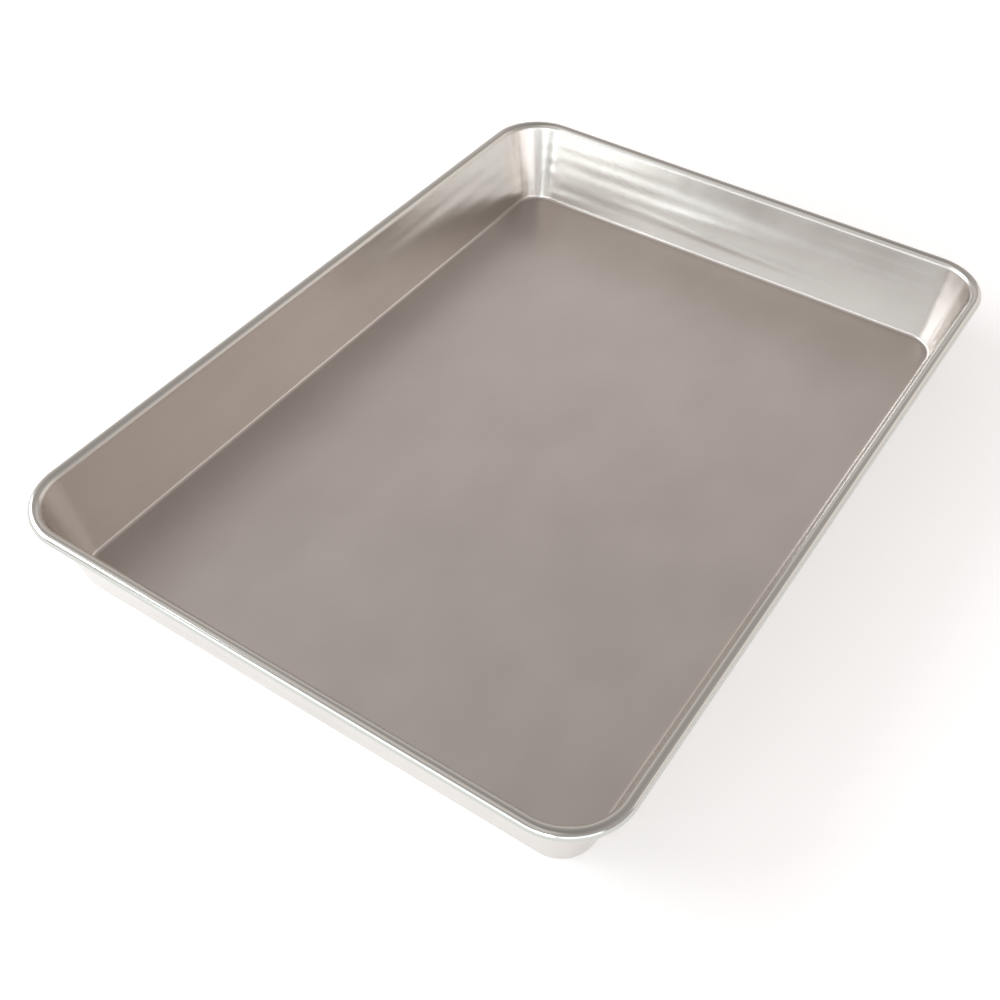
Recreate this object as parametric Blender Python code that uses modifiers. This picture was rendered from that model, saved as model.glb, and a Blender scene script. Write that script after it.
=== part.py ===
"""A half-size sheet cake pan: a drawn aluminium shell whose rim is rolled round a steel wire.

Metres, +Z up, +X along the long side. The origin is the centre of the floor's underside.
"""

from math import acos, atan2, ceil, cos, pi, radians, sin

import bmesh
import bpy
from mathutils import Matrix, Vector

# Overall sizes
LENGTH = 0.454              # outside of the rim along X
WIDTH = 0.327               # outside of the rim along Y
HEIGHT = 0.0495             # underside of the floor to the top of the rim
SHEET = 0.0010              # aluminium sheet

# Walls and floor
WALL_DRAFT = radians(14.0)  # lean of each wall from the vertical
FLOOR_BEND = 0.0035         # inside radius where the floor turns up into the walls
FLOOR_CORNER = 0.0150       # plan radius of the flat floor's corners

# Rolled rim
RIM_CORNER = 0.033          # plan radius of the rim's outermost edge
WIRE_DIAMETER = 0.0038      # galvanised wire in the curl
WIRE_CLEARANCE = 0.0003     # wire to the inside of the curl
WIRE_BUTT_GAP = 0.0005      # between the wire's cut ends
WALL_STEP = 0.00025         # how far the wall's face stands inside the curl's round
SHOULDER_SLOPE = radians(50.0)  # the narrow shoulder between wall and curl, from the horizontal
SHOULDER_BEND = 0.0005      # bend radius on the sheet's back where the wall meets the shoulder
TUCK_GAP = 0.0005           # between the curl's tucked edge and the wall's outer face

# Facets
CORNER_STEPS = 12           # round each corner, in plan
ARC_STEP = radians(18.0)    # largest turn of one facet in the section
WIRE_SIDES = 10             # round the wire, an even number
CREASE = radians(40.0)      # facets that meet at less than this are shaded as one surface

# Finish: linear colour and roughness
ALUMINIUM_COLOUR = (0.56, 0.53, 0.51)
ALUMINIUM_ROUGHNESS = 0.42
ZINC_COLOUR = (0.48, 0.50, 0.51)
ZINC_ROUGHNESS = 0.50


def polar(angle):
    """Unit vector in the section's plane; 0 points outwards and a quarter turn points up."""
    return Vector((cos(angle), sin(angle)))


def meeting_point(normal_a, distance_a, normal_b, distance_b):
    """Point that lies at the given distances along two unit normals."""
    rows = Matrix((normal_a, normal_b))
    return rows.inverted() @ Vector((distance_a, distance_b))


def arc(centre, radius, start, end):
    """Points along an arc in the section, from one angle to the other."""
    steps = max(1, ceil(abs(end - start) / ARC_STEP))
    angles = [start + (end - start) * i / steps for i in range(steps + 1)]
    return [centre + radius * polar(angle) for angle in angles]


CURL_RADIUS = WIRE_DIAMETER / 2 + WIRE_CLEARANCE + SHEET
CURL_CENTRE = Vector((-CURL_RADIUS, HEIGHT - CURL_RADIUS))


def sheet_section():
    """The face that food touches, from the flat floor's edge to the curl's tucked edge.

    Each point is (outward, up), with outward measured from the rim's outermost edge. The wall is
    a straight line between the floor's bend and the shoulder's bend, and the curl is an arc
    round the wire that ends just short of the wall's outer face.
    """
    wall_angle = pi - WALL_DRAFT
    wall_normal = polar(wall_angle)
    wall_distance = CURL_RADIUS + WALL_STEP
    shoulder_angle = pi / 2 + SHOULDER_SLOPE

    shoulder_radius = SHEET + SHOULDER_BEND
    bend_centre = CURL_CENTRE + meeting_point(
        wall_normal, wall_distance - shoulder_radius,
        polar(shoulder_angle), CURL_RADIUS - shoulder_radius)

    up = Vector((0, 1))
    floor_centre = CURL_CENTRE + meeting_point(
        wall_normal, wall_distance + FLOOR_BEND,
        up, SHEET + FLOOR_BEND - CURL_CENTRE.y)

    wall_back = wall_distance - SHEET
    tuck_turn = acos((wall_back - TUCK_GAP) / CURL_RADIUS)
    tuck_angle = wall_angle + tuck_turn - 2 * pi

    points = arc(floor_centre, FLOOR_BEND, -pi / 2, -WALL_DRAFT)
    points += arc(bend_centre, shoulder_radius, wall_angle, shoulder_angle)
    points.append(CURL_CENTRE + CURL_RADIUS * polar(shoulder_angle))
    quarters = [angle for angle in (pi / 2, 0, -pi / 2) if tuck_angle < angle < shoulder_angle]
    stops = [shoulder_angle, *quarters, tuck_angle]
    for start, end in zip(stops, stops[1:]):
        points += arc(CURL_CENTRE, CURL_RADIUS, start, end)[1:]
    return points


def corner_radius(outward, floor_edge):
    """Plan radius at a place in the section.

    The rim's rounds share their centres. Down the walls the radius changes evenly, to reach
    the flat floor's own corner radius at the floor's edge.
    """
    wall_top = CURL_CENTRE.x - CURL_RADIUS
    if outward >= wall_top:
        return RIM_CORNER + outward
    share = (outward - wall_top) / (floor_edge - wall_top)
    top_radius = RIM_CORNER + wall_top
    return top_radius + share * (FLOOR_CORNER - top_radius)


def rounded_rectangle(outward, radius, height):
    """Outline at a distance from the rim's outermost edge, counter-clockwise from (+X, +Y)."""
    half_x = LENGTH / 2 + outward - radius
    half_y = WIDTH / 2 + outward - radius
    points = []
    for quarter, (side_x, side_y) in enumerate(((1, 1), (-1, 1), (-1, -1), (1, -1))):
        for i in range(CORNER_STEPS + 1):
            angle = (quarter + i / CORNER_STEPS) * pi / 2
            points.append(Vector((side_x * half_x + radius * cos(angle),
                                  side_y * half_y + radius * sin(angle),
                                  height)))
    return points


def bearing(place):
    """Compass angle of a place round the pan's centre."""
    return atan2(place.y, place.x) % (2 * pi)


def metal(name, colour, roughness):
    """A plain metal with the piece's colour and roughness."""
    material = bpy.data.materials.new(name)
    material.use_nodes = True
    shader = material.node_tree.nodes["Principled BSDF"]
    shader.inputs["Base Color"].default_value = (*colour, 1.0)
    shader.inputs["Metallic"].default_value = 1.0
    shader.inputs["Roughness"].default_value = roughness
    return material


def pan_body(collection):
    """The drawn sheet: a flat floor whose edge is extruded up the walls and round the curl."""
    section = sheet_section()
    floor_edge = section[0].x

    bm = bmesh.new()
    outline = rounded_rectangle(floor_edge, FLOOR_CORNER, SHEET)
    bm.faces.new([bm.verts.new(point) for point in outline])
    edges = list(bm.edges)
    for outward, height in section[1:]:
        grown = bmesh.ops.extrude_edge_only(bm, edges=edges)["geom"]
        edges = [item for item in grown if isinstance(item, bmesh.types.BMEdge)]
        ring = [item for item in grown if isinstance(item, bmesh.types.BMVert)]
        ring.sort(key=lambda vert: bearing(vert.co))
        outline = rounded_rectangle(outward, corner_radius(outward, floor_edge), height)
        for vert, point in zip(ring, sorted(outline, key=bearing)):
            vert.co = point

    mesh = bpy.data.meshes.new("pan_body")
    bm.to_mesh(mesh)
    bm.free()
    mesh.shade_smooth()
    mesh.set_sharp_from_angle(angle=CREASE)
    mesh.materials.append(metal("natural aluminium", ALUMINIUM_COLOUR, ALUMINIUM_ROUGHNESS))

    pan = bpy.data.objects.new("pan_body", mesh)
    collection.objects.link(pan)
    sheet = pan.modifiers.new("sheet", "SOLIDIFY")
    sheet.thickness = SHEET
    sheet.offset = -1.0
    sheet.use_even_offset = True
    sheet.use_quality_normals = True
    return pan


def rim_wire(collection):
    """The wire along the curl's centre line, its cut ends butted midway along the -Y side."""
    outline = rounded_rectangle(CURL_CENTRE.x, RIM_CORNER + CURL_CENTRE.x, CURL_CENTRE.y)
    side_y = -WIDTH / 2 - CURL_CENTRE.x
    start = Vector((WIRE_BUTT_GAP / 2, side_y, CURL_CENTRE.y))
    end = Vector((-WIRE_BUTT_GAP / 2, side_y, CURL_CENTRE.y))
    last_corner = 3 * (CORNER_STEPS + 1)
    route = [start, *outline[last_corner:], *outline[:last_corner], end]

    curve = bpy.data.curves.new("rim_wire", "CURVE")
    curve.dimensions = "3D"
    curve.bevel_depth = WIRE_DIAMETER / 2
    curve.bevel_resolution = WIRE_SIDES // 2 - 2
    curve.use_fill_caps = True
    spline = curve.splines.new("POLY")
    spline.points.add(len(route) - 1)
    for point, place in zip(spline.points, route):
        point.co = (*place, 1.0)
    curve.materials.append(metal("galvanised steel", ZINC_COLOUR, ZINC_ROUGHNESS))

    wire = bpy.data.objects.new("rim_wire", curve)
    collection.objects.link(wire)
    return wire


for old in list(bpy.data.objects):
    bpy.data.objects.remove(old)

parts = bpy.data.collections.new("sheet_cake_pan")
bpy.context.scene.collection.children.link(parts)
pan_body(parts)
rim_wire(parts)
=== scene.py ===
"""The looks of a half-size sheet cake pan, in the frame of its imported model.

Metres, +Z up, +X along the pan's long side, the origin under the middle of its floor.
"""

import bpy
import numpy as np
from mathutils import Matrix, Vector


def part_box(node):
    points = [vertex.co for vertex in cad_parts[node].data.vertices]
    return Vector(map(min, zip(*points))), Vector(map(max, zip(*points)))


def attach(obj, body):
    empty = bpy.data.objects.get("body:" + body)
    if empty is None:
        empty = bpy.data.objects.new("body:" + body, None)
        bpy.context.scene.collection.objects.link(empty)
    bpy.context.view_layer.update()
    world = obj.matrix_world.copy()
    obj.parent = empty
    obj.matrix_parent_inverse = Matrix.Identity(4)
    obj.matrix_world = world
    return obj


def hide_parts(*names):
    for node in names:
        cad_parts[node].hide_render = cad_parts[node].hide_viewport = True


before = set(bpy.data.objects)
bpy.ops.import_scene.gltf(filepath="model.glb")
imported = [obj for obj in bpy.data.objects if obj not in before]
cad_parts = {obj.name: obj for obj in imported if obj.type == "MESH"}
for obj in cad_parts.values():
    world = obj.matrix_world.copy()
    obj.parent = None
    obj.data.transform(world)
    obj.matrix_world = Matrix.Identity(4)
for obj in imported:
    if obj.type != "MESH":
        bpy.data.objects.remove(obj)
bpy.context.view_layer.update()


# Pan body. One sheet of 1 mm aluminium, deep-drawn into a flat floor and four leaning walls, and
# curled over the rim wire at its edge. The press leaves long shallow waves in the walls, and
# the metal that gathers in the corners leaves faint upright puckers there.

SHEET = 0.0010                      # aluminium sheet
WALL_DRAFT = np.radians(14.0)       # lean of each wall from the vertical
FLOOR_BEND = 0.0022                 # inside radius between floor and wall
FLOOR_CORNER = 0.0150               # plan radius of the flat floor's corners
RIM_CORNER = 0.033                  # plan radius of the rim's outermost edge
CURL_RADIUS = 0.0032                # outside of the curl
WALL_STEP = 0.00025                 # the wall's face stands this far inside the curl's round
SHOULDER_SLOPE = np.radians(50.0)   # the narrow shoulder between wall and curl
SHOULDER_BEND = 0.0005              # bend radius on the sheet's back, wall to shoulder
TUCK_GAP = 0.0005                   # between the curl's edge and the wall's outer face

BEND_POINTS = 9                     # points of the section on the bend between floor and wall
WALL_POINTS = 34                    # between that bend and the next
SHOULDER_POINTS = 5                 # on the bend between wall and shoulder
CURL_POINTS = 35                    # round the curl

pan_low, pan_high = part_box("pan_body")
HALF_LENGTH = pan_high[0]
HALF_WIDTH = pan_high[1]
HEIGHT = pan_high[2]
CURL_CENTRE = np.array((-CURL_RADIUS, HEIGHT - CURL_RADIUS))


def unit(angle):
    """Unit vectors in a plane: the cosine and sine of each angle."""
    return np.stack((np.cos(angle), np.sin(angle)), axis=-1)


def meeting_point(angle_a, distance_a, angle_b, distance_b):
    """The point that lies at two given distances along two directions, by a 2 by 2 solve."""
    return np.linalg.solve(np.stack((unit(angle_a), unit(angle_b))), (distance_a, distance_b))


def sheet_section():
    """The sheet in section, from the flat floor's edge to the curl's tucked edge.

    It is three arcs joined by straight runs. On each arc the face and the back of the sheet are
    circles about one centre whose radii differ by the sheet's thickness. Returns the face's
    points and the back's, as (outward from the rim's outermost edge, up).
    """
    wall = np.pi - WALL_DRAFT
    shoulder = np.pi / 2 + SHOULDER_SLOPE
    wall_distance = CURL_RADIUS + WALL_STEP
    bend = SHEET + SHOULDER_BEND
    bend_centre = CURL_CENTRE + meeting_point(
        wall, wall_distance - bend, shoulder, CURL_RADIUS - bend)
    floor_centre = CURL_CENTRE + meeting_point(
        wall, wall_distance + FLOOR_BEND, np.pi / 2, SHEET + FLOOR_BEND - CURL_CENTRE[1])
    tuck_turn = np.arccos((wall_distance - SHEET - TUCK_GAP) / CURL_RADIUS)
    tuck = wall + tuck_turn - 2 * np.pi

    floor_rays = unit(np.linspace(-np.pi / 2, -WALL_DRAFT, BEND_POINTS))
    bend_rays = unit(np.linspace(wall, shoulder, SHOULDER_POINTS))
    curl_rays = unit(np.linspace(shoulder, tuck, CURL_POINTS))
    climb = np.linspace(0, 1, WALL_POINTS + 2)[1:-1, None]
    sides = []
    for floor_radius, bend_radius, curl_radius in (
            (FLOOR_BEND, bend, CURL_RADIUS),
            (FLOOR_BEND + SHEET, bend - SHEET, CURL_RADIUS - SHEET)):
        foot = floor_centre + floor_radius * floor_rays
        head = bend_centre + bend_radius * bend_rays
        run = foot[-1] + climb * (head[0] - foot[-1])
        sides.append(np.concatenate((foot, run, head, CURL_CENTRE + curl_radius * curl_rays)))
    return sides


FACE, BACK = sheet_section()
FLOOR_EDGE = FACE[0, 0]

# Length of sheet from the flat floor's edge: to each point, to the wall's top and to the curl
CLIMBED = np.append(0.0, np.cumsum(np.linalg.norm(np.diff(FACE, axis=0), axis=1)))
WALL_TOP = CLIMBED[BEND_POINTS + WALL_POINTS]
CURL_START = CLIMBED[BEND_POINTS + WALL_POINTS + SHOULDER_POINTS]


def corner_radius(outward):
    """Plan radius at a distance from the rim's outermost edge: the rim's rounds share centres,
    and down the wall the radius changes evenly to the flat floor's own corner radius."""
    wall_top = -2 * CURL_RADIUS
    share = np.clip((outward - wall_top) / (FLOOR_EDGE - wall_top), 0, 1)
    top_radius = RIM_CORNER + wall_top
    on_wall = top_radius + share * (FLOOR_CORNER - top_radius)
    return np.where(outward >= wall_top, RIM_CORNER + outward, on_wall)


def outline_columns(corner, long_side, short_side):
    """Turn and run of each column round the pan, counter-clockwise from the +X side.

    The three counts are columns for each corner, long side and short side. turn is the plan
    direction of the outward normal. run_x and run_y, from -1 to 1, say how far along the
    straight sides the column stands, as shares of their half lengths.
    """
    turn, run_x, run_y = [], [], []
    for quarter, (x, y) in enumerate(((1, 1), (-1, 1), (-1, -1), (1, -1))):
        turn.append(np.linspace(quarter, quarter + 1, corner) * np.pi / 2)
        run_x.append(np.full(corner, x, float))
        run_y.append(np.full(corner, y, float))
        count = (long_side, short_side)[quarter % 2]
        along = np.linspace(1, -1, count + 2)[1:-1]
        turn.append(np.full(count, (quarter + 1) * np.pi / 2))
        run_x.append(along * x if quarter % 2 == 0 else np.full(count, x, float))
        run_y.append(along * y if quarter % 2 == 1 else np.full(count, y, float))
    return np.concatenate(turn), np.concatenate(run_x), np.concatenate(run_y)


TURN, RUN_X, RUN_Y = outline_columns(corner=41, long_side=105, short_side=85)
NORMAL = unit(TURN)


def carry_round(points, radius=None):
    """Carries section points round the pan: one row for each point, one column for each place
    on the outline. A column is the corner's centre plus the radius along the plan normal."""
    outward, up = points.T[..., None]
    radius = corner_radius(outward) if radius is None else radius
    x = RUN_X * (HALF_LENGTH + outward - radius) + radius * NORMAL[:, 0]
    y = RUN_Y * (HALF_WIDTH + outward - radius) + radius * NORMAL[:, 1]
    return np.stack((x, y, up + 0 * x), axis=-1)


def waves(x, y, spans):
    """A smooth uneven field between -1 and 1: the mean of plane waves, each given by its
    wavelength, heading and phase."""
    total = sum(np.sin(2 * np.pi * (x * np.cos(heading) + y * np.sin(heading)) / length + phase)
                for length, heading, phase in spans)
    return total / len(spans)


def smooth_step(low, high, value):
    """0 below low, 1 above high, and a smooth cubic in between."""
    share = np.clip((value - low) / (high - low), 0, 1)
    return share * share * (3 - 2 * share)


FLOOR_SWELL = 0.00020                   # the floor's highest places stand this far up
SWELL_FADE = (0.93, 0.995)              # shares of the way to the floor's edge where it fades out
MARKS_FOOT = (0.002, 0.007)             # the walls' marks fade in between these heights
MARKS_HEAD = (0.036, 0.042)             # and fade out between these, below the rim
WALL_WAVE = 0.00005                     # the walls' long waves, each way
WALL_RIPPLE = 0.00007                   # ripples that run along the walls, each way
RIPPLE_SHIFT = 0.35                     # metres that the ripples shift by for each radian of turn
DRAW_STEP = 0.00007                     # the walls stand out this much more above the punch's edge
DRAW_STEP_HEIGHT = 0.0105
DRAW_STEP_BLUR = 0.0016                 # half the height over which they step out
DRAW_STEP_FALL = (0.014, 0.036)         # they fall back between these heights
PUCKER = 0.00006                        # depth of the corners' upright puckers
PUCKER_TURN = np.radians(15.0)
PUCKER_FOOT = (0.002, 0.005)            # the puckers fade in between these heights
PUCKER_HEAD = (0.009, 0.024)            # and fade to their shallow upper part between these
PUCKER_ABOVE = 0.3                      # share of their depth that runs on up the corner
SWELL_SPANS = ((0.31, 0.4, 0.3), (0.23, 1.9, 1.1), (0.17, 2.8, 4.0))
WAVE_SPANS = ((0.21, 0.0, 0.8), (0.13, 0.3, 2.9), (0.34, 1.5, 5.1), (0.09, 1.2, 0.4))
RIPPLE_SPANS = ((0.011, 1.530, 0.5), (0.016, 1.600, 2.2), (0.024, 1.500, 4.0), (0.0085, 1.580, 1.0))
STEP_SPANS = ((0.30, 1.57, 0.6), (0.11, 1.2, 2.0), (0.26, 0.2, 4.4))

# Single dents and swellings: the wall's turn in quarters, place along it counter-clockwise,
# height, half length, half height, how fast it climbs along the wall, how far it stands out
DENTS = (
    (0, 0.006, 0.0210, 0.050, 0.0082, -0.06, 0.00060),
    (0, 0.010, 0.0125, 0.055, 0.0022, 0.02, 0.00036),
    (0, -0.040, 0.0300, 0.030, 0.0080, 0.00, -0.00012),
    (0, -0.085, 0.0230, 0.022, 0.0060, 0.05, 0.00010),
    (0, -0.122, 0.0120, 0.008, 0.0035, 0.00, -0.00008),
    (1, 0.011, 0.0340, 0.006, 0.0060, 1.20, -0.00010),
    (1, -0.045, 0.0220, 0.075, 0.0105, 0.02, 0.00050),
    (1, -0.120, 0.0240, 0.040, 0.0090, 0.05, 0.00012),
    (1, 0.130, 0.0200, 0.045, 0.0080, 0.00, -0.00010),
    (2, -0.060, 0.0200, 0.040, 0.0080, 0.03, 0.00014),
    (2, 0.080, 0.0260, 0.026, 0.0070, 0.00, -0.00010),
    (3, 0.040, 0.0180, 0.050, 0.0070, 0.02, 0.00014),
    (3, -0.130, 0.0280, 0.030, 0.0080, 0.00, -0.00010))


def press_marks(place, height):
    """How far the drawn sheet stands off its true shape, along its own normal.

    The walls wave both ways and ripple up their height in lines that run nearly level. They
    step out at DRAW_STEP_HEIGHT and fall back slowly above it. The corners have no ripples,
    but pucker once every PUCKER_TURN. Each dent is a bell curve along the wall times one up
    it. All of it fades out at the floor's bend and below the rim. place is on the flat blank,
    and height is that of the sheet's face above the flat floor's.
    """
    x, y = place[..., 0], place[..., 1]
    on_wall = smooth_step(*MARKS_FOOT, height) * (1 - smooth_step(*MARKS_HEAD, height))
    wave = WALL_WAVE * waves(x, y, WAVE_SPANS)
    in_corner = np.abs(np.sin(2 * TURN)) ** 1.5
    along = y * NORMAL[:, 0] - x * NORMAL[:, 1] + RIPPLE_SHIFT * TURN
    wave = wave + WALL_RIPPLE * (1 - in_corner) * waves(along, height, RIPPLE_SPANS)
    step = smooth_step(-DRAW_STEP_BLUR, DRAW_STEP_BLUR, height - DRAW_STEP_HEIGHT)
    step = step * (1 - smooth_step(*DRAW_STEP_FALL, height))
    step = DRAW_STEP * step * (0.5 + 0.5 * waves(x, y, STEP_SPANS))
    for quarter, start, level, half_length, half_height, climb, stands in DENTS:
        on_side = np.cos(TURN - quarter * np.pi / 2) > 1 - 1e-9
        along = (y, -x, -y, x)[quarter] - start
        bell = np.exp(-(along / half_length) ** 2
                      - ((height - level - climb * along) / half_height) ** 2)
        wave = wave + stands * bell * on_side
    low = smooth_step(*PUCKER_FOOT, height) * (1 - smooth_step(*PUCKER_HEAD, height))
    fold = in_corner * np.cos(2 * np.pi * TURN / PUCKER_TURN)
    pucker = PUCKER * (PUCKER_ABOVE * on_wall + low) * fold
    return on_wall * (wave + step) + pucker


def close_grid(rows, uv_maps, name):
    """A closed mesh from rows of points round the pan: a quad between each four neighbours and
    a fan at each end, round a point at the end row's middle. Each UV map has a point for each
    point of the rows."""
    count, columns = rows.shape[:2]
    index = np.arange(count * columns).reshape(count, columns)
    after = np.roll(index, -1, axis=1)
    quads = np.stack((index[:-1], index[1:], after[1:], after[:-1]), axis=-1).reshape(-1, 4)
    poles = np.full(columns, count * columns)
    first = np.stack((index[0], after[0], poles), axis=-1)
    last = np.stack((after[-1], index[-1], poles + 1), axis=-1)

    def with_poles(values):
        """All the rows' values in one list, and after them the mean of each end row."""
        ends = np.stack((values[0].mean(0), values[-1].mean(0)))
        return np.concatenate((values.reshape(-1, values.shape[-1]), ends))

    mesh = bpy.data.meshes.new(name)
    mesh.from_pydata(with_poles(rows), [], quads.tolist() + first.tolist() + last.tolist())
    corners = np.empty(len(mesh.loops), dtype=np.int32)
    mesh.loops.foreach_get("vertex_index", corners)
    for uv_name, uvs in uv_maps.items():
        layer = mesh.uv_layers.new(name=uv_name)
        layer.uv.foreach_set("vector", with_poles(uvs)[corners].astype(np.float32).ravel())
    mesh.shade_smooth()
    mesh.update()
    return mesh


FLOOR_ROWS = 18                         # rows of points across the flat floor, middle to edge
FIRST_ROW = 0.03 * np.pi                # angle whose sine is the first row's share of the way


def pan_mesh():
    """The whole sheet as one closed surface.

    Rows of points run from the middle of the floor, up the face, over the curl, round its
    tucked edge, and back down the other side to the middle of the underside. The floor's rows
    are its edge scaled by the sines of evenly spaced angles, so they close up towards it. The
    UV map sheet_blank is each point's place on the flat blank in metres: the floor's edge plus
    the length of sheet climbed along the outward normal. wall_foot is the place on the floor's
    edge below the point, which stays the same all the way up the wall.
    """
    foot = carry_round(FACE[:1])[..., :2]
    blank = foot + CLIMBED[:, None, None] * NORMAL
    across = (FACE - BACK) / SHEET
    normals = np.stack((across[:, :1] * NORMAL[:, 0], across[:, :1] * NORMAL[:, 1],
                        across[:, 1:] + 0 * TURN), axis=-1)
    marks = normals * press_marks(blank, FACE[:, 1:] - SHEET)[..., None]
    face = carry_round(FACE) + marks
    back = carry_round(BACK) + marks
    every_other = np.unique(np.append(np.arange(0, len(BACK), 2), len(BACK) - 1))[::-1]

    middle = (FACE[-1] + BACK[-1]) / 2
    half = (FACE[-1] - BACK[-1]) / 2
    ahead = np.array((half[1], -half[0]))
    bulge = unit(np.pi * np.array((0.25, 0.5, 0.75)))
    tuck = carry_round(middle + bulge @ np.stack((half, ahead)))

    reach = np.sin(np.linspace(FIRST_ROW, np.pi / 2, FLOOR_ROWS + 1))[:-1, None, None]
    flat = foot * reach
    swell = FLOOR_SWELL * (0.5 + 0.5 * waves(flat[..., 0], flat[..., 1], SWELL_SPANS))
    swell = (swell * (1 - smooth_step(*SWELL_FADE, reach[..., 0])))[..., None]
    top = np.concatenate((flat, swell + SHEET), axis=-1)
    under = np.concatenate((flat, swell), axis=-1)[::-1]

    rows = np.concatenate((top, face, tuck, back[every_other], under))
    rows[..., 2] = np.maximum(rows[..., 2], pan_low[2])
    feet = np.broadcast_to(foot, blank.shape)
    return close_grid(
        rows,
        {"sheet_blank": np.concatenate(
            (flat, blank, blank[[-1, -1, -1]], blank[every_other], flat[::-1])),
         "wall_foot": np.concatenate(
             (flat, feet, feet[[-1, -1, -1]], feet[every_other], flat[::-1]))},
        "drawn_pan")


def linear(code):
    """An sRGB hex colour as linear red, green, blue and 1 for opaque."""
    shares = [int(code[i:i + 2], 16) / 255 for i in (1, 3, 5)]
    return (*(s / 12.92 if s <= 0.04045 else ((s + 0.055) / 1.055) ** 2.4 for s in shares), 1.0)


def add_node(tree, kind, inputs=None, **settings):
    """Adds a node. settings are its own properties; inputs sets or links its sockets by name
    or number: an output socket is linked, and anything else is the socket's value."""
    node = tree.nodes.new(kind)
    for name, value in settings.items():
        setattr(node, name, value)
    for key, value in (inputs or {}).items():
        if isinstance(value, bpy.types.NodeSocket):
            tree.links.new(value, node.inputs[key])
        else:
            node.inputs[key].default_value = value
    return node


ROLL_LINE = 0.6e-3          # spacing of the rolling lines; the real ones are finer
ROLL_LENGTH = 45e-3         # how long one rolling line runs
DRAW_STREAK = 2.2e-3        # spacing of the upright streaks that the die leaves on the walls
WHEEL_LINE = 0.5e-3         # spacing of the lines that the curling wheels leave along the rim
WHEEL_LENGTH = 70e-3        # how long one of them runs
NICK = 5e-3                 # spacing of the small nicks along the shoulder under the rim
CLOUD = 60e-3               # width of the dull and bright clouds that oil and drawing leave
SCUFF = 14e-3               # length of a handling scuff

BEND_BLEND = (0.3e-3, 3e-3)     # the floor's finish turns into the wall's over this much sheet
STREAK_FADE = 10e-3             # the upright streaks fade out over this much, below the shoulder
NICK_FADE = (0.8e-3, 0.5e-3)    # and the nicks over this much, below and above it
FLOOR_DULL = 0.37               # roughness of the floor, as it came from the mill
WALL_DULL = 0.23                # roughness of the walls, burnished by the die
RIM_DULL = -0.05                # the rim is smoother than the walls by this
SHOULDER_DULL = 0.12            # and the nicked shoulder rougher
RELIEF = 4e-6                   # height of the lines


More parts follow.
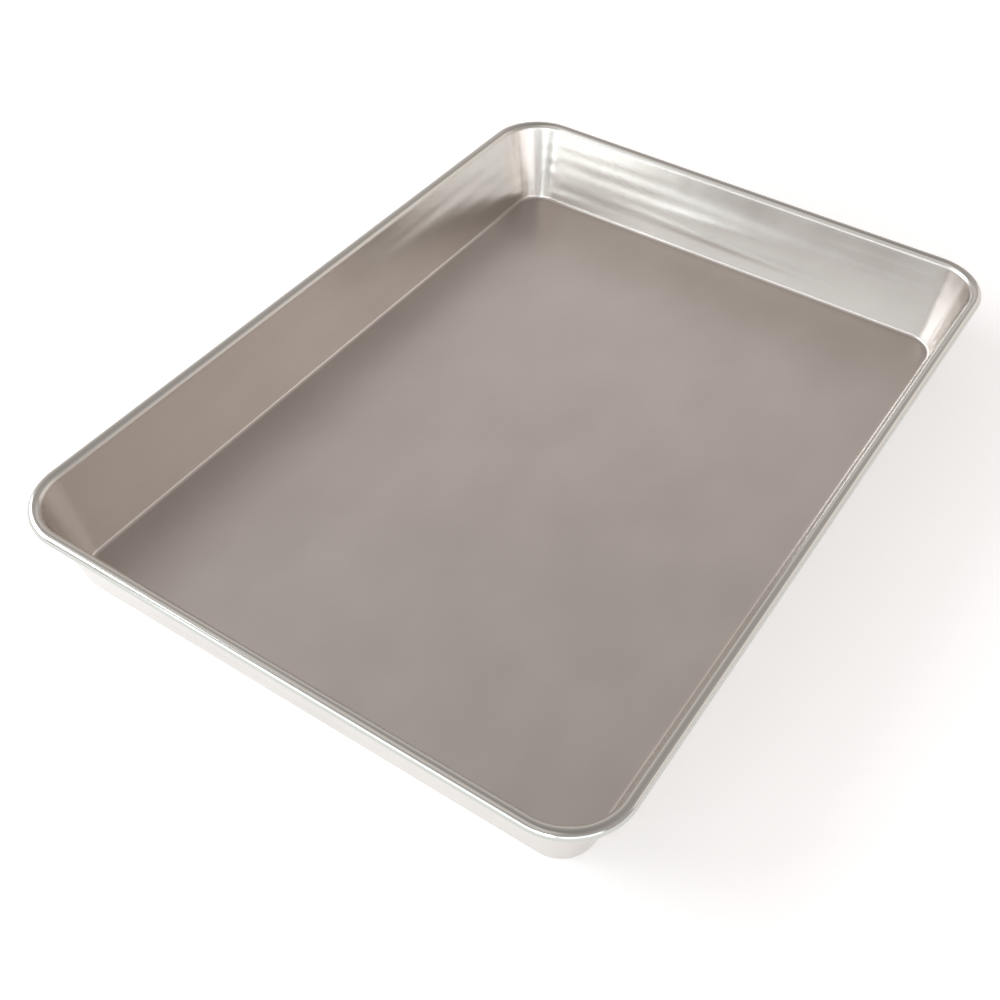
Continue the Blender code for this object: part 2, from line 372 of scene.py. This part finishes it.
def natural_aluminium():
    """Natural aluminium sheet, mill-rolled and then drawn: a warm grey satin that blurs what it
    mirrors. The floor keeps the mill's dull finish with faint rolling lines along the pan. The
    die burnishes the walls and leaves faint upright streaks. The curling wheels polish the rim
    along its length, which makes it a little cooler, and nick the shoulder below it. Soft
    clouds and a few fine scuffs lie over all of it."""
    material = bpy.data.materials.new("natural_aluminium_sheet")
    material.use_nodes = True
    tree = material.node_tree
    shader = tree.nodes["Principled BSDF"]
    shader.inputs["Metallic"].default_value = 1.0

    def noise(place, turn, spacing, detail=2.0):
        """Noise over a place, turned, with its own spacing along each axis."""
        at = add_node(tree, "ShaderNodeMapping", {
            "Vector": place, "Rotation": (0, 0, turn), "Scale": [1 / s for s in spacing]})
        return add_node(tree, "ShaderNodeTexNoise", {
            "Vector": at.outputs["Vector"], "Scale": 1.0, "Detail": detail}).outputs["Fac"]

    def between(value, low, high, low_to, high_to):
        """Maps a value's range onto another, clamped at both ends."""
        return add_node(tree, "ShaderNodeMapRange", {
            "Value": value, "From Min": low, "From Max": high,
            "To Min": low_to, "To Max": high_to}).outputs["Result"]

    def product(a, b):
        """One value times another."""
        return add_node(tree, "ShaderNodeMath", {0: a, 1: b}, operation="MULTIPLY").outputs[0]

    def total(*values):
        """The sum of several values."""
        result = values[0]
        for value in values[1:]:
            result = add_node(tree, "ShaderNodeMath", {0: result, 1: value},
                              operation="ADD").outputs[0]
        return result

    blank = add_node(tree, "ShaderNodeUVMap", uv_map="sheet_blank").outputs["UV"]
    foot = add_node(tree, "ShaderNodeUVMap", uv_map="wall_foot").outputs["UV"]
    climbed = add_node(tree, "ShaderNodeVectorMath", {
        0: blank, 1: foot}, operation="DISTANCE").outputs["Value"]
    off_floor = between(climbed, *BEND_BLEND, 0.0, 1.0)
    on_rim = between(climbed, WALL_TOP, CURL_START, 0.0, 1.0)
    on_wall = product(off_floor, between(climbed, WALL_TOP - STREAK_FADE, WALL_TOP, 1.0, 0.0))
    on_shoulder = product(
        between(climbed, WALL_TOP - NICK_FADE[0], WALL_TOP, 0.0, 1.0),
        between(climbed, CURL_START, CURL_START + NICK_FADE[1], 1.0, 0.0))

    lines = noise(blank, 0.0, (ROLL_LENGTH, ROLL_LINE, 1.0), 3.0)
    lines = product(lines, between(off_floor, 0.0, 1.0, 1.0, 0.15))
    clouds = noise(blank, 0.4, (CLOUD, 0.7 * CLOUD, 1.0))
    scuffs = between(noise(blank, 0.5, (SCUFF, SCUFF / 18, 1.0)), 0.66, 0.78, 0.0, 1.0)
    streaks = product(noise(foot, 0.0, (DRAW_STREAK, DRAW_STREAK, 1.0), 3.0), on_wall)
    split = add_node(tree, "ShaderNodeSeparateXYZ", {"Vector": foot})
    round_rim = add_node(tree, "ShaderNodeCombineXYZ", {
        "X": split.outputs["X"], "Y": split.outputs["Y"], "Z": climbed}).outputs["Vector"]
    wheels = product(noise(round_rim, 0.0, (WHEEL_LENGTH, WHEEL_LENGTH, WHEEL_LINE)), on_rim)
    nicks = between(noise(foot, 0.0, (NICK, NICK, 1.0), 1.0), 0.60, 0.66, 0.0, 1.0)
    nicks = product(nicks, on_shoulder)

    tint = add_node(tree, "ShaderNodeMix", {
        "Factor": between(clouds, 0.35, 0.65, 0.0, 1.0),
        "A": linear("#cec9c4"), "B": linear("#d3cec9")}, data_type="RGBA")
    tint = add_node(tree, "ShaderNodeMix", {
        "Factor": on_rim, "A": tint.outputs["Result"], "B": linear("#cbccc7")}, data_type="RGBA")
    tree.links.new(tint.outputs["Result"], shader.inputs["Base Color"])

    dull = total(
        between(off_floor, 0.0, 1.0, FLOOR_DULL, WALL_DULL), product(on_rim, RIM_DULL),
        between(clouds, 0.3, 0.7, -0.015, 0.015), between(lines, 0.3, 0.7, -0.015, 0.015),
        product(scuffs, 0.04), product(streaks, 0.04), product(on_shoulder, SHOULDER_DULL))
    tree.links.new(dull, shader.inputs["Roughness"])

    relief = total(lines, product(scuffs, -0.5), product(streaks, 0.4), product(wheels, 0.8),
                   product(nicks, -0.7))
    bump = add_node(tree, "ShaderNodeBump", {
        "Strength": 0.3, "Distance": RELIEF, "Height": relief})
    tree.links.new(bump.outputs["Normal"], shader.inputs["Normal"])
    return material


pan = bpy.data.objects.new("drawn_pan", pan_mesh())
bpy.context.scene.collection.objects.link(pan)
pan.data.materials.append(natural_aluminium())
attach(pan, "root")
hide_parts("pan_body")


# Rim wire. One length of 3.8 mm galvanised steel, bent round the rim's centre line with its cut
# ends butted midway along the -Y side. The curl holds it, and it shows only through the gap
# at the curl's tucked edge.

WIRE_RADIUS = 0.0019
WIRE_BUTT_GAP = 0.0005
WIRE_SIDES = 24
SPANGLE = 5e-3              # width of the zinc coat's crystals


def wire_mesh():
    """A circle carried along the rim's centre line, closed by a flat face at each cut end."""
    around = unit(np.linspace(0, 2 * np.pi, WIRE_SIDES, endpoint=False))
    ring = CURL_CENTRE + WIRE_RADIUS * around
    rows = carry_round(ring, RIM_CORNER + ring[:, :1])
    butt = np.flatnonzero((np.abs(TURN - 1.5 * np.pi) < 1e-9) & (RUN_X >= 0))[0]
    rows = np.roll(rows, -butt, axis=1)
    rows = rows[:, np.abs(rows[0, :, 0]) > WIRE_BUTT_GAP]
    ends = rows[:, [0, -1]]
    ends[..., 0] = (WIRE_BUTT_GAP / 2, -WIRE_BUTT_GAP / 2)
    points = np.concatenate((ends[:, :1], rows, ends[:, 1:]), axis=1).transpose(1, 0, 2)
    index = np.arange(points.shape[0] * WIRE_SIDES).reshape(-1, WIRE_SIDES)
    after = np.roll(index, -1, axis=1)
    quads = np.stack((index[:-1], index[1:], after[1:], after[:-1]), axis=-1).reshape(-1, 4)
    mesh = bpy.data.meshes.new("galvanised_wire")
    caps = [index[0].tolist(), index[-1][::-1].tolist()]
    mesh.from_pydata(points.reshape(-1, 3), [], quads.tolist() + caps)
    mesh.shade_smooth()
    mesh.set_sharp_from_angle(angle=np.radians(40.0))
    return mesh


def galvanised_steel():
    """Hot-dipped zinc on steel wire: dull blue grey with the coat's crystal patches."""
    material = bpy.data.materials.new("galvanised_steel")
    material.use_nodes = True
    tree = material.node_tree
    shader = tree.nodes["Principled BSDF"]
    shader.inputs["Metallic"].default_value = 1.0
    place = add_node(tree, "ShaderNodeTexCoord").outputs["Object"]
    spangle = add_node(tree, "ShaderNodeTexVoronoi", {
        "Vector": place, "Scale": 1 / SPANGLE}).outputs["Color"]
    patch = add_node(tree, "ShaderNodeSeparateColor", {"Color": spangle}).outputs["Red"]
    tint = add_node(tree, "ShaderNodeMix", {
        "Factor": patch, "A": linear("#a3a9ad"), "B": linear("#bcc1c4")}, data_type="RGBA")
    tree.links.new(tint.outputs["Result"], shader.inputs["Base Color"])
    dull = add_node(tree, "ShaderNodeMapRange", {"Value": patch, "To Min": 0.42, "To Max": 0.58})
    tree.links.new(dull.outputs["Result"], shader.inputs["Roughness"])
    return material


wire = bpy.data.objects.new("galvanised_wire", wire_mesh())
bpy.context.scene.collection.objects.link(wire)
wire.data.materials.append(galvanised_steel())
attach(wire, "root")
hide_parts("rim_wire")


# Studio. A pale paper floor in a dim pale room, and the camera at the photograph's angle. A row
# of low soft lights behind the camera and a strong one on its left are what the walls and
# corners mirror. Three weaker ones fill in from above, from the right and from beyond the pan.

PAPER_HALF = 6.0            # half width of the paper
PAPER_POINTS = 9            # points along each of its sides
PAPER_GAP = 1e-5            # from the paper up to the pan's underside
PAPER_LIFT = 0.33           # how much the paper's own white adds where it is seen
ROOM_FADE = 4.0             # the room darkens overhead with this power of a direction's Z


def paper():
    """Matt white paper that keeps the pan's shadow and is seen as white."""
    material = bpy.data.materials.new("white_paper")
    material.use_nodes = True
    tree = material.node_tree
    tree.nodes.clear()
    diffuse = add_node(tree, "ShaderNodeBsdfDiffuse", {"Color": linear("#f4f4f4")})
    path = add_node(tree, "ShaderNodeLightPath")
    seen = add_node(tree, "ShaderNodeMath", {
        0: path.outputs["Is Camera Ray"], 1: path.outputs["Is Glossy Ray"]},
        operation="MAXIMUM").outputs[0]
    seen = add_node(tree, "ShaderNodeMath", {
        0: seen, 1: path.outputs["Is Transmission Ray"]}, operation="MAXIMUM").outputs[0]
    glow = add_node(tree, "ShaderNodeMath", {0: seen, 1: PAPER_LIFT}, operation="MULTIPLY")
    lift = add_node(tree, "ShaderNodeEmission", {
        "Color": linear("#ffffff"), "Strength": glow.outputs[0]})
    both = add_node(tree, "ShaderNodeAddShader", {
        0: diffuse.outputs[0], 1: lift.outputs[0]})
    add_node(tree, "ShaderNodeOutputMaterial", {"Surface": both.outputs[0]})
    return material


def floor_mesh():
    """A flat square grid just under the pan."""
    spread = np.linspace(-PAPER_HALF, PAPER_HALF, PAPER_POINTS)
    x, y = np.meshgrid(spread, spread, indexing="ij")
    points = np.stack((x, y, np.full_like(x, pan_low[2] - PAPER_GAP)), axis=-1).reshape(-1, 3)
    index = np.arange(PAPER_POINTS ** 2).reshape(PAPER_POINTS, PAPER_POINTS)
    quads = np.stack((index[:-1, :-1], index[1:, :-1], index[1:, 1:], index[:-1, 1:]), axis=-1)
    mesh = bpy.data.meshes.new("paper_floor")
    mesh.from_pydata(points, [], quads.reshape(-1, 4).tolist())
    return mesh


def soft_light(name, bearing, climb, distance, width, height, watts, colour):
    """A rectangular soft light that faces the pan from a bearing and a climb, both in degrees,
    at a distance, unseen by the camera."""
    light = bpy.data.lights.new(name, "AREA")
    light.shape = "RECTANGLE"
    light.size = width
    light.size_y = height
    light.energy = watts
    light.color = linear(colour)[:3]
    lamp = bpy.data.objects.new(name, light)
    plan = unit(np.radians(bearing)) * np.cos(np.radians(climb))
    lamp.location = distance * Vector((*plan, np.sin(np.radians(climb))))
    lamp.rotation_euler = (-lamp.location).to_track_quat("-Z", "Y").to_euler()
    lamp.visible_camera = False
    bpy.context.scene.collection.objects.link(lamp)


floor = bpy.data.objects.new("paper_floor", floor_mesh())
bpy.context.scene.collection.objects.link(floor)
floor.data.materials.append(paper())

soft_light("back_left", 175.0, 10.5, 2.5, 2.5, 0.95, 18.0, "#eaf8ff")
soft_light("back_right", 229.0, 10.5, 2.5, 2.0, 0.95, 9.5, "#eaf8ff")
soft_light("window", 194.0, 10.5, 2.5, 0.7, 0.95, 9.0, "#ebfaff")
soft_light("left", 112.0, 27.0, 2.5, 2.4, 1.3, 40.0, "#f1f8ff")
soft_light("overhead", 150.0, 62.0, 2.5, 3.0, 1.4, 5.0, "#fff8f4")
soft_light("right", 322.0, 19.0, 2.5, 2.9, 1.2, 6.2, "#fff6f0")
soft_light("front", 42.0, 28.0, 2.5, 3.0, 0.9, 2.0, "#fff4ee")

world = bpy.data.worlds.new("studio")
bpy.context.scene.world = world
world.use_nodes = True
room = world.node_tree
direction = add_node(room, "ShaderNodeTexCoord").outputs["Generated"]
upward = add_node(room, "ShaderNodeSeparateXYZ", {"Vector": direction}).outputs["Z"]
overhead = add_node(room, "ShaderNodeMath", {
    0: upward, 1: ROOM_FADE}, operation="POWER").outputs[0]
shade = add_node(room, "ShaderNodeMix", {
    "Factor": overhead, "A": linear("#cbc3c0"), "B": linear("#a29b99")}, data_type="RGBA")
background = room.nodes["Background"]
room.links.new(shade.outputs["Result"], background.inputs["Color"])
background.inputs["Strength"].default_value = 1.0

CAMERA_PLACE = Vector((-0.4500, -0.2627, 0.4909))
CAMERA_AIM = Vector((-0.0478, -0.0016, 0.0010))
CAMERA_ROLL = 0.0202        # radians
CAMERA_LENS = 46.8          # millimetres, as is the sensor
CAMERA_SENSOR = 36.0
CAMERA_NEAR = 0.01          # nothing nearer than this is drawn

camera_data = bpy.data.cameras.new("camera")
camera_data.lens = CAMERA_LENS
camera_data.sensor_width = CAMERA_SENSOR
camera_data.clip_start = CAMERA_NEAR
camera = bpy.data.objects.new("camera", camera_data)
facing = (CAMERA_AIM - CAMERA_PLACE).to_track_quat("-Z", "Y").to_matrix().to_4x4()
camera.matrix_world = (
    Matrix.Translation(CAMERA_PLACE) @ facing @ Matrix.Rotation(CAMERA_ROLL, 4, "Z"))
bpy.context.scene.collection.objects.link(camera)
bpy.context.scene.camera = camera
bpy.context.scene.view_settings.view_transform = "Standard"
